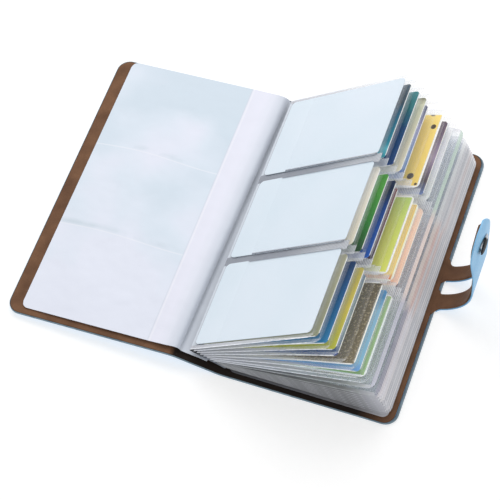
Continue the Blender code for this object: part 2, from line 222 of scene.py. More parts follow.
SUEDE_PATCH = 0.012
SUEDE_NAP = 0.0006
NAP_SHARE = 0.3
NAP_DEPTH = 0.0002
SUEDE_SHEEN = 0.12
SUEDE_GLOSS = 0.3
SUEDE_DARK = (104, 73, 52)
SUEDE_PALE = (134, 97, 70)
SUEDE_DEEP = (74, 50, 38)
SUEDE_PAINTED_SHADE = (14, 8, 6)
SHADE_STRIP_SHARE = 0.95
SHADE_STRIP_FRONT = (0.0870, 0.0030)
SHADE_STRIP_LEFT = (-0.084, 0.003)
SHADE_STRIP_RIGHT = (0.030, 0.016)


def suede():
    """Brown suede: a soft patchy nap, and a near-black strip of painted shade along the front of the leaves.
    """
    made, tree, shader = new_material("suede", 0.9)
    place = own_place(tree)
    along, across, _ = parts_of(tree, place)
    nap = grain(tree, place, SUEDE_NAP, 2.0)
    shades = mottled(tree, grain(tree, place, SUEDE_PATCH, 4.0), SUEDE_DARK, SUEDE_PALE)
    shades = mixed(tree, times(tree, nap, NAP_SHARE), shades, SUEDE_DEEP)
    # Painted shade: a near-black strip on the suede along the leaves' front edge, where the leaf block shades
    # it.
    painted_shade = past(tree, times(tree, across, -1.0), *SHADE_STRIP_FRONT)
    painted_shade = times(tree, painted_shade, past(tree, along, *SHADE_STRIP_LEFT))
    painted_shade = times(tree, painted_shade, short_of(tree, along, *SHADE_STRIP_RIGHT))
    shades = mixed(tree, times(tree, painted_shade, SHADE_STRIP_SHARE), shades, SUEDE_PAINTED_SHADE)
    paint(tree, shader, shades)
    shader.inputs["Sheen Weight"].default_value = SUEDE_SHEEN
    shader.inputs["Specular IOR Level"].default_value = SUEDE_GLOSS
    bump(tree, shader, nap, NAP_DEPTH)
    return made


LEATHER_PATCH = 0.010
LEATHER_DARK = (131, 190, 232)
LEATHER_PALE = (141, 199, 239)
PEBBLES_PER_METRE = 1100.0
PEBBLE_DEPTH = 0.00015


def leather():
    """Light blue leather: a fine pebbled grain under a satin finish."""
    made, tree, shader = new_material("leather", 0.45)
    place = own_place(tree)
    pebbles = tree.nodes.new("ShaderNodeTexVoronoi")
    pebbles.inputs["Scale"].default_value = PEBBLES_PER_METRE
    tree.links.new(place, pebbles.inputs["Vector"])
    tone = mottled(tree, grain(tree, place, LEATHER_PATCH), LEATHER_DARK, LEATHER_PALE)
    paint(tree, shader, tone)
    bump(tree, shader, pebbles.outputs["Distance"], PEBBLE_DEPTH)
    return made


PAINT_PATCH = 0.004
PAINT_TONES = ((0.35, (98, 120, 134)), (0.65, (124, 146, 160)))
PAINT_GRAIN = 0.0008
PAINT_DEPTH = 0.0001


def painted_edge():
    """Grey-blue paint on the leather's cut edge, a little worn."""
    made, tree, shader = new_material("painted_edge", 0.6)
    place = own_place(tree)
    tone = tones(tree, grain(tree, place, PAINT_PATCH), *PAINT_TONES)
    paint(tree, shader, tone)
    bump(tree, shader, grain(tree, place, PAINT_GRAIN), PAINT_DEPTH)
    return made


SUEDE = suede()
LEATHER = leather()
EDGE_PAINT = painted_edge()


def eased_path(points, ease):
    """The inner face's run through a crease: straight, round the corner, straight.

    Returns a function from the distance along it to a point and the way it heads."""
    start, corner, end = points
    before = (corner - start).normalized()
    after = (end - corner).normalized()
    corner_run = (corner - start).length

    def at(run):
        beyond = run - corner_run
        if beyond <= -ease:
            return corner + before * beyond, before
        if beyond >= ease:
            return corner + after * beyond, after
        left = ease - beyond
        gone = ease + beyond
        point = corner - before * left**2 / (4 * ease) + after * gone**2 / (4 * ease)
        return point, (before * left + after * gone).normalized()

    return at


def cover_sheet(name, points, rim, fore_turn, finish):
    """One half of a cover sheet, from the middle of the spine to its fore edge.

    rim is the edge's cross-section, as (inset, depth) pairs from the underside to the top,
    and fore_turn is how many times wider the inset is at the fore edge."""
    at = eased_path(points, CREASE_EASE)
    corner_run = (points[1] - points[0]).length
    reach = corner_run + (points[2] - points[1]).length
    side = 1 if points[2].x > points[0].x else -1
    straight_end = reach - CORNER_ROUND
    crease_start = corner_run - CREASE_EASE
    crease_end = corner_run + CREASE_EASE
    panel_steps = round((straight_end - corner_run) / PANEL_STEP)
    runs = list(np.linspace(0.0, crease_start, START_STEPS + 1)[:-1])
    runs += list(np.linspace(crease_start, crease_end, CREASE_STEPS + 1)[:-1])
    runs += list(np.linspace(crease_end, straight_end, panel_steps)[:-1])

    def place(run, across, depth):
        point, heading = at(run)
        inward = Vector((-heading.z * side, 0.0, heading.x * side))
        return point + inward * depth + Vector((0.0, across, 0.0))

    verts = []
    faces = []

    def add(run, across, depth):
        verts.append(place(run, across, depth))
        return len(verts) - 1

    rings = []
    faces_of = []
    for inset, depth in rim:
        edge = [(run, cover_half - inset) for run in runs]
        for step in range(CORNER_STEPS + 1):
            turn = pi / 2 * step / CORNER_STEPS
            along = (CORNER_ROUND - inset * fore_turn) * sin(turn)
            across = cover_half - CORNER_ROUND + (CORNER_ROUND - inset) * cos(turn)
            edge.append((straight_end + along, across))
        ends = np.linspace(-edge[-1][1], edge[-1][1], CROSS_STEPS + 1)[1:-1]
        front = [add(run, -across, depth) for run, across in edge]
        fore = [add(edge[-1][0], across, depth) for across in ends]
        back = [add(run, across, depth) for run, across in edge]
        rings.append(front + fore + back[::-1])
        faces_of.append((edge, front, fore, back, depth))
    for low, high in zip(rings, rings[1:]):
        for i in range(len(low) - 1):
            faces.append((low[i], low[i + 1], high[i + 1], high[i]))
    for edge, front, fore, back, depth in (faces_of[0], faces_of[-1]):
        rows = []
        for i, (run, across) in enumerate(edge[:-1]):
            middle = [add(run, y, depth) for y in np.linspace(-across, across, CROSS_STEPS + 1)[1:-1]]
            rows.append([front[i], *middle, back[i]])
        rows.append([front[-1], *fore, back[-1]])
        for row, after in zip(rows, rows[1:]):
            for i in range(CROSS_STEPS):
                faces.append((row[i], row[i + 1], after[i + 1], after[i]))
    per_ring = len(rings[0]) - 1
    painted = range(PAINTED_RINGS[0] * per_ring, PAINTED_RINGS[1] * per_ring)
    return new_piece(name, verts, faces, finish, painted if finish == LEATHER else ())


def new_piece(name, verts, faces, finish, painted=()):
    """A named piece in one finish, with edge paint on the faces that are painted."""
    mesh = bpy.data.meshes.new(name)
    mesh.from_pydata(verts, [], faces)
    mesh.materials.append(finish)
    if painted:
        mesh.materials.append(EDGE_PAINT)
    for i in painted:
        mesh.polygons[i].material_index = 1
    mesh.validate()
    tidy_normals(mesh)
    piece = bpy.data.objects.new(name, mesh)
    bpy.context.collection.objects.link(piece)
    return piece


def tidy_normals(mesh):
    """Faces outward, and smooth apart from sharp edges."""
    bm = bmesh.new()
    bm.from_mesh(mesh)
    bmesh.ops.remove_doubles(bm, verts=bm.verts, dist=SAME_POINT)
    bmesh.ops.recalc_face_normals(bm, faces=bm.faces)
    bm.to_mesh(mesh)
    bm.free()
    mesh.shade_smooth()
    mesh.set_sharp_from_angle(angle=SHARP_CORNER)


skin_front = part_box("back_cover_skin")[1].z - back_crease.z
spine_middle = (back_crease + front_crease) / 2
back_fore = Vector((back_high.x, 0.0, back_crease.z))
front_reach = back_high.x - back_crease.x
front_points = np.array([v.co for v in frame["nodes"]["front_cover_lining"].data.vertices])
front_lie = np.linalg.svd(front_points[:, [0, 2]] - front_points[:, [0, 2]].mean(0))[2][0]
front_lie = front_lie if front_lie[0] < 0 else -front_lie
front_fore = front_crease + Vector((front_lie[0], 0.0, front_lie[1])) * front_reach

LEATHER_RIM = (
    (0.0012, -cover_thickness),
    (0.0005, -cover_thickness),
    (0.00015, -cover_thickness + 0.0001),
    (0.0, -cover_thickness + 0.0004),
    (0.0, -0.0004),
    (0.0001, -0.0002),
    (0.0003, -0.0001),
    (TURNED_EDGE, -0.0003),
    (TURNED_EDGE + 0.0001, skin_front),
    (0.0012, skin_front),
)
LINING_RIM = (
    (TURNED_EDGE + 0.0008, skin_front + LINING_GAP),
    (TURNED_EDGE + 0.0003, skin_front + 0.0003),
    (TURNED_EDGE + 0.00015, -0.0004),
    (TURNED_EDGE + 0.0003, -0.0001),
    (TURNED_EDGE + 0.0008, 0.0),
    (TURNED_EDGE + 0.0020, 0.0),
)
for layer, rim, finish, slot, node in (
    ("leather", LEATHER_RIM, LEATHER, "blue_leather", "skin"),
    ("suede", LINING_RIM, SUEDE, "brown_suede", "lining"),
):
    back_points = (spine_middle, back_crease, back_fore)
    back_half = cover_sheet(f"back_{layer}", back_points, rim, FORE_TURN, finish)
    front_half = cover_sheet(f"front_{layer}", (spine_middle, front_crease, front_fore), rim, 1.0, finish)
    for half, panel, crease, fore in (
        (back_half, "back_cover", back_crease, back_fore),
        (front_half, "front_cover", front_crease, front_fore),
    ):
        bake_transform(half)
        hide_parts(f"{panel}_{node}", f"spine_{node}")


# Film leaves: clear soft plastic, with three pockets welded to each leaf and open towards
# the spine. The welds between pockets are pressed with fine ribs. The cut edges are painted
# bright and glow with painted light for the light they catch, and the top leaf's welds are
# painted grey as painted shade. The lower leaves are empty and press together into a pale block.
LEAVES = 18
CARDED_LEAVES = 8
PLAIN_EDGE_LEAF = 5
ROW_PITCH = 0.060
ROW_GAP = 0.0028
ROW_CHANGES = (0.31, 0.35, 0.64, 0.68)
FILM_HALF = 0.0905
FILM_RIM = 0.0026
FILM_SOFT = 0.0004
FILM_EDGE = 0.0004
FILM_BUMP = 0.0006
SEAM_HALF = 0.0003
SEAM_HAZE = 0.3
ROOT_START = 0.001
ROOT_FADE = 0.006
CLEARING = (0.35, 0.4)
RIB_PITCH = 0.0011
RIB_FADE = 0.03
RIB_HAZE = 0.25
RIB_BUMP = 0.2
WAVE = 0.02
STREAK = 0.003
STREAK_DRAWN = (1.0, 12.0, 1.0)
LINE_PITCH = 0.0007
LINE_WANDER = 9.0
LINE_SHARE = 0.35
DIM_FROM = (0.35, 0.5)
DIM_SHARE = 0.45
WORN_EDGE = 0.55
EDGE_PAINTED_GLOW = 0.12
FILM_TINT = (226, 232, 240)
ROOT_TINT = (222, 230, 240)
WELD_PAINTED_SHADE = (158, 163, 174)
WELD_PALE = (206, 209, 215)
RIB_TINT = (226, 229, 234)
LINE_PALE = (248, 246, 248)
LINE_DIM = (118, 116, 122)
CARDED_RIM = ((0.0, (206, 208, 216)), (0.9, (238, 240, 244)))
BLOCK_RIM = (
    (0.0, (128, 130, 138)),
    (0.43, (147, 148, 155)),
    (0.78, (176, 175, 178)),
    (0.90, (222, 222, 228)),
    (1.0, (244, 244, 250)),
)


def lie_of(name):
    """A flat piece's middle, and how far it is lifted, in radians."""
    points = np.array([v.co for v in frame["nodes"][name].data.vertices])
    middle = (points.max(0) + points.min(0)) / 2
    heading = np.linalg.svd(points[:, [0, 2]] - middle[[0, 2]])[2][0]
    heading = heading if heading[0] > 0 else -heading
    return Vector(middle), atan2(heading[1], heading[0])


def near(tree, value, place, width):
    """1 where a value is at a place, falling to 0 within a width."""
    away = maths(tree, "ABSOLUTE", minus(tree, value, place))
    return minus(tree, 1.0, maths(tree, "MINIMUM", maths(tree, "DIVIDE", away, width), 1.0))


def give_finish(node, finish):
    """Gives a CAD piece its finish in place of the plain one."""
    frame["nodes"][node].data.materials.clear()
    frame["nodes"][node].data.materials.append(finish)


def film(name, middle, lift, reach, haze, weld_haze, rim_haze, root_haze, edge_cover, edge_tints):
    """Clear film on one leaf: ribbed welds, a pale rim, a gathered root, and cut edges painted bright with a
    painted glow.

    rim_haze is for the fore edge and for the sides' fore and root ends. edge_tints are the
    cut edge's colours at the front, the middle and the back row."""
    carded = rim_haze[0] < 0.5
    top_leaf = weld_haze > 0.5
    made, tree, shader = new_material(name, 0.25)
    place = own_place(tree, middle, lift)
    along, across, _ = parts_of(tree, place)
    sideways = maths(tree, "ABSOLUTE", across)
    from_gap = maths(tree, "ABSOLUTE", minus(tree, sideways, ROW_PITCH / 2))
    gap = short_of(tree, from_gap, ROW_GAP, FILM_SOFT)
    fore = near(tree, along, reach / 2, FILM_EDGE)
    side = near(tree, sideways, FILM_HALF, 2 * FILM_EDGE)
    fore_rim = past(tree, along, reach / 2 - FILM_RIM, FILM_SOFT)
    if carded:
        fore_rim = times(tree, fore_rim, minus(tree, 1.0, gap))
    side_rim = past(tree, sideways, FILM_HALF - FILM_RIM, FILM_SOFT)
    seam_haze = SEAM_HAZE if edge_cover > 0.5 else 0.0
    seam = times(tree, near(tree, along, reach / 2 - FILM_RIM, SEAM_HALF), seam_haze)
    from_root = plus(tree, maths(tree, "DIVIDE", along, reach), 0.5)
    root = short_of(tree, along, ROOT_START - reach / 2, ROOT_FADE)
    ribs = maths(tree, "SINE", times(tree, along, 2 * pi / RIB_PITCH))
    ribs = plus(tree, times(tree, ribs, 0.5), 0.5)
    ribs = times(tree, times(tree, ribs, gap), past(tree, along, 0.0, RIB_FADE))
    waves = grain(tree, place, WAVE, 2.0)
    streaks = grain(tree, own_place(tree, middle, lift, STREAK_DRAWN), STREAK, 3.0)

    cover = plus(tree, haze, times(tree, waves, haze))
    cover = most(tree, cover, times(tree, gap, weld_haze))
    cover = most(tree, cover, times(tree, ribs, min(weld_haze + RIB_HAZE, 1.0)))
    cover = most(tree, cover, seam)
    cover = most(tree, cover, times(tree, fore_rim, rim_haze[0]))
    clearing = times(tree, past(tree, from_root, *CLEARING), rim_haze[1] - rim_haze[2])
    cover = most(tree, cover, times(tree, side_rim, plus(tree, clearing, rim_haze[2])))
    cover = most(tree, cover, times(tree, root, root_haze))
    bright = ramp(tree, streaks, (0.35, (WORN_EDGE * edge_cover,) * 3), (0.6, (edge_cover,) * 3))
    bright = times(tree, most(tree, fore, side), bright)
    cover = maths(tree, "MINIMUM", most(tree, cover, bright), 1.0)

    up = plus(tree, maths(tree, "DIVIDE", across, 3 * ROW_PITCH), 0.5)
    front_tint, middle_tint, back_tint = edge_tints
    cut = tones(tree, up, *zip(ROW_CHANGES, (front_tint, middle_tint, middle_tint, back_tint)))
    wander = times(tree, streaks, LINE_WANDER)
    lines = maths(tree, "SINE", plus(tree, times(tree, along, 2 * pi / LINE_PITCH), wander))
    pale = plus(tree, LINE_SHARE, times(tree, lines, LINE_SHARE))
    cut = mixed(tree, pale, cut, LINE_PALE)
    dim = times(tree, past(tree, times(tree, lines, -1.0), *DIM_FROM), DIM_SHARE)
    cut = mixed(tree, dim, cut, LINE_DIM)
    # Painted shade: the top leaf's welds are painted grey for the shade seen in the gaps between its inserts.
    weld = mixed(tree, ribs, WELD_PAINTED_SHADE if top_leaf else WELD_PALE, RIB_TINT)
    tint = mixed(tree, root, FILM_TINT, ROOT_TINT)
    tint = mixed(tree, side_rim, tint, tones(tree, from_root, *(CARDED_RIM if carded else BLOCK_RIM)))
    tint = mixed(tree, gap, tint, weld)
    tint = mixed(tree, fore_rim, tint, cut)
    colour = mixed(tree, fore, mixed(tree, side, tint, RIB_TINT), cut)
    paint(tree, shader, colour)
    tree.links.new(cover, shader.inputs["Alpha"])
    tree.links.new(colour, shader.inputs["Emission Color"])

    # Painted light: the fore rim, the lower leaves' welds and the carded leaves' side edges glow, though no
    # lamp is there.
    painted_glow = times(tree, fore_rim, EDGE_PAINTED_GLOW)
    if not top_leaf:
        painted_glow = most(tree, painted_glow, times(tree, gap, EDGE_PAINTED_GLOW))
    if carded:
        painted_glow = most(tree, painted_glow, times(tree, side, 3 * EDGE_PAINTED_GLOW))
    tree.links.new(painted_glow, shader.inputs["Emission Strength"])
    bump(tree, shader, plus(tree, waves, times(tree, ribs, RIB_BUMP)), FILM_BUMP)
    return made


CLEAR_EDGE = ((246, 248, 250), (246, 248, 250), (246, 248, 250))
EDGE_TINTS = {
    9: ((190, 190, 215), (238, 216, 206), (165, 200, 180)),
    10: ((136, 136, 168), (242, 228, 218), (236, 238, 240)),
    11: ((252, 246, 250), (240, 202, 192), (226, 228, 232)),
    12: ((246, 246, 252), (232, 234, 238), (200, 205, 212)),
    13: ((242, 240, 242), (236, 212, 206), (240, 240, 242)),
    14: ((205, 208, 215), (226, 228, 232), (226, 216, 216)),
    15: ((232, 234, 238), (216, 220, 226), (238, 238, 240)),
    16: ((218, 222, 228), (240, 240, 242), (214, 218, 224)),
    17: ((236, 236, 240), (222, 225, 230), (236, 238, 242)),
    18: ((196, 200, 208), (212, 216, 222), (220, 224, 230)),
}
for number in range(1, LEAVES + 1):
    name = f"leaf_{number:02d}"
    middle, lift = lie_of(name)
    low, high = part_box(name)
    reach = (high.x - low.x) / cos(lift)
    with_cards = number <= CARDED_LEAVES
    haze = 0.012 if with_cards else 0.10
    weld_haze = 0.8 if number == 1 else 0.3
    rim_haze = (0.05, 0.2, 0.7) if with_cards else (0.75, 0.6, 0.75)
    root_haze = 0.9 if number == 1 else 0.35
    edge_cover = 0.06 if number == PLAIN_EDGE_LEAF else 1.0
    tints = EDGE_TINTS.get(number, CLEAR_EDGE)
    film_name = f"film_{number:02d}"
    finish = film(film_name, middle, lift, reach, haze, weld_haze, rim_haze, root_haze, edge_cover, tints)
    give_finish(name, finish)

# End sheet: one plain film that lies flat on the back cover's lining, under the last leaf. It
# reaches a little past the leaves at the front and the back, and is milky where they press.
END_WIDER = 0.0010
END_LOW = 0.0002
END_TOP = 0.0005
END_CORNER = 0.004
END_HAZE = 0.92
END_PATCH = 0.01
END_PATCHED = 0.1
END_MIDDLE = 0.45
END_WAVE = 0.006
END_BUMP = 0.0003
END_TONES = ((0.0, (104, 106, 112)), (0.45, (122, 124, 130)), (0.8, (150, 150, 154)), (0.96, (214, 214, 220)))
ROUND_STEPS = 8


def rounded(half_long, half_short, corner):
    """An oblong's outline with round corners, as (x, y) pairs about its middle."""
    outline = []
    for turn_start, (x_sign, y_sign) in enumerate(((1, 1), (-1, 1), (-1, -1), (1, -1))):
        for step in range(ROUND_STEPS + 1):
            turn = pi / 2 * (turn_start + step / ROUND_STEPS)
            x = x_sign * (half_long - corner) + corner * cos(turn)
            outline.append((x, y_sign * (half_short - corner) + corner * sin(turn)))
    return outline


def plate(name, low_rim, high_rim, finish):
    """A thin flat piece between two like outlines."""
    count = len(low_rim)
    faces = [tuple(range(count - 1, -1, -1)), tuple(range(count, 2 * count))]
    faces += [(i, (i + 1) % count, count + (i + 1) % count, count + i) for i in range(count)]
    return new_piece(name, low_rim + high_rim, faces, finish)


end_low, end_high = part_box("leaf_18")
end_middle = Vector(((end_low.x + end_high.x) / 2, 0.0, back_crease.z))
end_rim = rounded((end_high.x - end_low.x) / 2 - END_WIDER, end_high.y + END_WIDER, END_CORNER)
milky, tree, shader = new_material("milky_film", 0.4)
place = own_place(tree, end_middle)
milky_along = parts_of(tree, place)[0]
milky_share = maths(tree, "DIVIDE", milky_along, end_high.x - end_low.x)
milky_patches = times(tree, grain(tree, place, END_PATCH), END_PATCHED)
milky_share = plus(tree, plus(tree, milky_share, milky_patches), END_MIDDLE)
paint(tree, shader, tones(tree, milky_share, *END_TONES))
shader.inputs["Alpha"].default_value = END_HAZE
bump(tree, shader, grain(tree, place, END_WAVE), END_BUMP)
end_sheet = plate(
    "end_sheet",
    [end_middle + Vector((x, y, END_LOW)) for x, y in end_rim],
    [end_middle + Vector((x, y, END_TOP)) for x, y in end_rim],
    milky,
)
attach(end_sheet, "back_cover")

# Cards: printed card in the pockets, each with a pale cut edge. Each print is plain bands
# of colour along the card's short side, some with flecks, dots or a pale unprinted rim.
CARD_LONG = 0.090
CARD_SHORT = 0.054
CARD_CORNER = 0.003
CARD_BODY = 0.0004
CARD_EDGE = 0.0002
CARD_GRAIN = 0.0004
CARD_BUMP = 0.00003
CARD_WHITE = (240, 240, 236)
CARD_PAINTED_GLOW = 0.22
BLUR_PATCH = 0.006
BLUR_SHARE = 0.12
FLECK_SIZE = 0.0014
FLECK_TONE = (158, 148, 124)
DOT_REACH = 0.24
DOT_TONE = (74, 62, 44)
THIN_RIM = 0.0006
PALE_RIM = 0.0010
WIDE_RIM = 0.0012
CUT_SHORT = -0.004
CUT_LONG = 0.0014


def body_of(node):
    """The body a card moves with: its own in the top leaf, else its leaf's."""
    return node if node.startswith("card_01") else "leaf_" + node[5:7]


def card_sheet(name, node, more_root, more_fore, more_side, finish):
    """A flat card with round corners, in a CAD card's place and longer or shorter than it."""
    middle, lift = lie_of(node)
    heading = Vector((cos(lift), 0.0, sin(lift)))
    outward = Vector((-sin(lift), 0.0, cos(lift))) * CARD_BODY / 2
    middle = middle + heading * (more_fore - more_root) / 2
    rim = rounded((CARD_LONG + more_root + more_fore) / 2, CARD_SHORT / 2 + more_side, CARD_CORNER)
    rim = [middle + heading * x + Vector((0.0, y, 0.0)) for x, y in rim]
    piece = plate(name, [p - outward for p in rim], [p + outward for p in rim], finish)
    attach(piece, body_of(node))
    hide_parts(node)


def print_of(node, *stops, flecks=0.0, dots=0.0, rim=0.0, more_fore=0.0):
    """A card's face: colours along its short side, then flecks, dots and a pale rim.

    A card that is cut longer or shorter at its fore end gets a sheet of its own."""
    middle, lift = lie_of(node)
    made, tree, shader = new_material("print_" + node, 0.5)
    place = own_place(tree, middle, lift)
    along, across, _ = parts_of(tree, place)
    blur = times(tree, minus(tree, grain(tree, place, BLUR_PATCH), 0.5), BLUR_SHARE)
    up = plus(tree, maths(tree, "DIVIDE", across, CARD_SHORT), 0.5)
    face = tones(tree, plus(tree, up, blur), *stops)
    if flecks:
        spots = maths(tree, "GREATER_THAN", grain(tree, place, FLECK_SIZE, 4.0), 1.0 - flecks)
        face = mixed(tree, spots, face, FLECK_TONE)
    if dots:
        cells = tree.nodes.new("ShaderNodeTexVoronoi")
        cells.inputs["Scale"].default_value = 1 / dots
        tree.links.new(place, cells.inputs["Vector"])
        spots = maths(tree, "LESS_THAN", cells.outputs["Distance"], DOT_REACH)
        face = mixed(tree, spots, face, DOT_TONE)
    from_end = minus(tree, CARD_LONG / 2 + more_fore, along)
    from_side = minus(tree, CARD_SHORT / 2, maths(tree, "ABSOLUTE", across))
    from_edge = maths(tree, "MINIMUM", from_end, from_side)
    border = maths(tree, "LESS_THAN", from_edge, max(rim, CARD_EDGE))
    face = mixed(tree, border, face, CARD_WHITE)
    paint(tree, shader, face)
    # Painted light: the print glows a little, standing in for light that the fanned cards lack under the
    # leaves above.
    tree.links.new(face, shader.inputs["Emission Color"])
    shader.inputs["Emission Strength"].default_value = CARD_PAINTED_GLOW
    bump(tree, shader, grain(tree, place, CARD_GRAIN), CARD_BUMP)
    if more_fore:
        card_sheet("sheet_" + node, node, 0.0, more_fore, 0.0, made)
    else:
        give_finish(node, made)


print_of(
    "card_02_top",
    (0.0, (40, 140, 155)),
    (0.12, (96, 178, 190)),
    (0.22, (38, 132, 152)),
    (0.58, (30, 100, 128)),
    (0.75, (62, 80, 92)),
)
print_of("card_03_top", (0.0, (30, 60, 115)), (0.5, (30, 75, 120)), (0.8, (50, 125, 130)))
print_of(
    "card_04_top",
    (0.0, (226, 220, 196)),
    (0.5, (222, 216, 188)),
    (0.9, (216, 212, 186)),
    (1.0, (120, 115, 90)),
)
print_of(
    "card_05_top",
    (0.0, (70, 112, 182)),
    (0.3, (95, 140, 205)),
    (0.7, (150, 150, 205)),
    (0.95, (40, 48, 95)),
    more_fore=CUT_SHORT,
)
print_of(
    "card_06_top",
    (0.0, (240, 208, 112)),
    (1.0, (244, 216, 122)),
    dots=0.009,
    rim=WIDE_RIM,
    more_fore=CUT_LONG,
)
print_of(
    "card_07_top",
    (0.0, (105, 130, 185)),
    (0.2, (85, 82, 100)),
    (0.5, (160, 152, 190)),
    (1.0, (82, 66, 84)),
)
print_of("card_08_top", (0.0, (222, 228, 224)), (1.0, (236, 238, 240)))
print_of("card_02_middle", (0.0, (220, 212, 192)), (1.0, (232, 226, 214)))
print_of("card_03_middle", (0.0, (20, 60, 35)), (0.35, (40, 122, 52)), (1.0, (80, 158, 62)))
print_of("card_04_middle", (0.0, (40, 92, 180)), (0.6, (30, 70, 150)), (0.85, (18, 36, 72)))
print_of(
    "card_05_middle",
    (0.0, (22, 18, 26)),
    (0.4, (105, 36, 46)),
    (1.0, (132, 52, 56)),
    more_fore=CUT_SHORT,
)
print_of(
    "card_06_middle",
    (0.0, (222, 226, 108)),
    (0.6, (208, 222, 112)),
    (1.0, (190, 216, 126)),
    rim=WIDE_RIM,
    more_fore=CUT_LONG,
)
print_of(
    "card_07_middle",
    (0.0, (214, 96, 84)),
    (0.1, (240, 214, 158)),
    (1.0, (238, 204, 142)),
    rim=PALE_RIM,
)
print_of("card_08_middle", (0.0, (230, 196, 178)), (1.0, (236, 212, 198)))
print_of("card_02_bottom", (0.0, (146, 148, 122)), (1.0, (178, 176, 150)))
print_of("card_03_bottom", (0.0, (40, 122, 172)), (0.7, (24, 84, 140)), (1.0, (28, 60, 104)))
print_of("card_04_bottom", (0.0, (186, 184, 62)), (0.5, (222, 202, 92)), (1.0, (200, 186, 96)))
print_of(
    "card_05_bottom",
    (0.0, (52, 78, 150)),
    (0.3, (120, 150, 180)),
    (1.0, (100, 130, 160)),
    more_fore=CUT_SHORT,
)
print_of(
    "card_06_bottom",
    (0.0, (118, 108, 86)),
    (1.0, (100, 92, 76)),
    flecks=0.42,
    rim=THIN_RIM,
    more_fore=CUT_LONG,
)
print_of(
    "card_07_bottom",
    (0.0, (112, 162, 224)),
    (0.12, (150, 204, 234)),
    (0.75, (162, 210, 238)),
    (0.9, (90, 150, 200)),
)
print_of("card_08_bottom", (0.0, (146, 176, 110)), (1.0, (160, 188, 124)), rim=PALE_RIM)

# White inserts: three blank sheets of smooth white card in the top leaf's pockets. They
# are cut a little longer than the printed cards and reach nearly to the gutter.
INSERT_MORE = 0.0022
INSERT_WIDER = 0.0007
INSERT_PATCH = 0.05
INSERT_GRAIN = 0.0005
INSERT_DARK = (220, 233, 243)
INSERT_PALE = (227, 237, 247)
blank, tree, shader = new_material("white_card", 0.55)
place = own_place(tree)
tone = mottled(tree, grain(tree, place, INSERT_PATCH), INSERT_DARK, INSERT_PALE)
paint(tree, shader, tone)
bump(tree, shader, grain(tree, place, INSERT_GRAIN), CARD_BUMP)
for row in ("top", "middle", "bottom"):
    card_sheet(f"insert_{row}", f"card_01_{row}", INSERT_MORE, 0.0, INSERT_WIDER, blank)

# Binding: a clear plastic bar that leans over the spine and holds the leaves' inner edges
# together. It is cloudy where it is pressed, with painted shade deep down beside the first leaf.
BAR_PATCH = 0.006
BAR_DARK = (120, 128, 142)
BAR_PALE = (176, 184, 196)
BAR_PAINTED_SHADE = (34, 38, 46)
BAR_SHADE_END = (-0.068, 0.006)
BAR_HAZE = 0.8
cloudy, tree, shader = new_material("cloudy_film", 0.3)
place = own_place(tree)
tone = mottled(tree, grain(tree, place, BAR_PATCH), BAR_DARK, BAR_PALE)
# Painted shade: near black at the bar's low end beside the first leaf.
deep_shade = short_of(tree, parts_of(tree, place)[0], *BAR_SHADE_END)
tone = mixed(tree, deep_shade, tone, BAR_PAINTED_SHADE)
paint(tree, shader, tone)
shader.inputs["Alpha"].default_value = BAR_HAZE
give_finish("binding_strip", cloudy)

# First leaf: frosted film that lies on the front cover and hides its lining. It comes up
# out of the gutter in a soft roll. Its empty pockets show as faint weld lines and a mouth.
GUTTER_FOOT = Vector((-0.0737, 0.0, 0.0078))
GUTTER_SKEW = 0.00205
SPINE_SLOPE = -0.24
MOUTH = 0.0245
ROLL = (
    GUTTER_FOOT + Vector((0.0160, 0.0, -0.0034)),
    GUTTER_FOOT + Vector((0.0116, 0.0, -0.0020)),
    GUTTER_FOOT + Vector((0.0046, 0.0, -0.0005)),
    GUTTER_FOOT + Vector((0.0012, 0.0, 0.0003)),
    GUTTER_FOOT + Vector((-0.0001, 0.0, 0.0012)),
    GUTTER_FOOT + Vector((-0.0013, 0.0, 0.0025)),
    GUTTER_FOOT + Vector((-0.0036, 0.0, 0.0034)),
    GUTTER_FOOT + Vector((-0.0068, 0.0, 0.0034)),
    GUTTER_FOOT + Vector((-0.0110, 0.0, 0.0029)),
)
ROLL_STEPS = 6
EASE_STEPS = 4
FLAT_FROM = 0.018
FLAT_STEPS = 15
END_STEPS = 8
FIRST_FRONT = 0.0908
FIRST_BACK = 0.0942
FIRST_CORNER = 0.004
GATHER = 0.0012
GATHER_REACH = 0.016
FILM_BODY = 0.0003
CROSS_FILM = 60
first_lift = lie_of("leaf_00")[1]
first_low, first_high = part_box("leaf_00")
first_fold = hinge_at["leaf_00_fold"]
first_heading = Vector((-cos(first_lift), 0.0, -sin(first_lift)))
first_end = first_fold + first_heading * (first_high.x - first_low.x) / cos(first_lift)


def smooth_run(points, steps):
    """Points on a smooth curve through the given ones."""
    out = []
    for i in range(len(points) - 1):
        a = points[max(i - 1, 0)]
        b, c = points[i], points[i + 1]
        d = points[min(i + 2, len(points) - 1)]
        for s in range(steps):
            t = s / steps
            bend = (2 * a - 5 * b + 4 * c - d) * t**2 + (3 * b - a - 3 * c + d) * t**3
            out.append(0.5 * (2 * b + (c - a) * t + bend))
    out.append(points[-1])
    return out


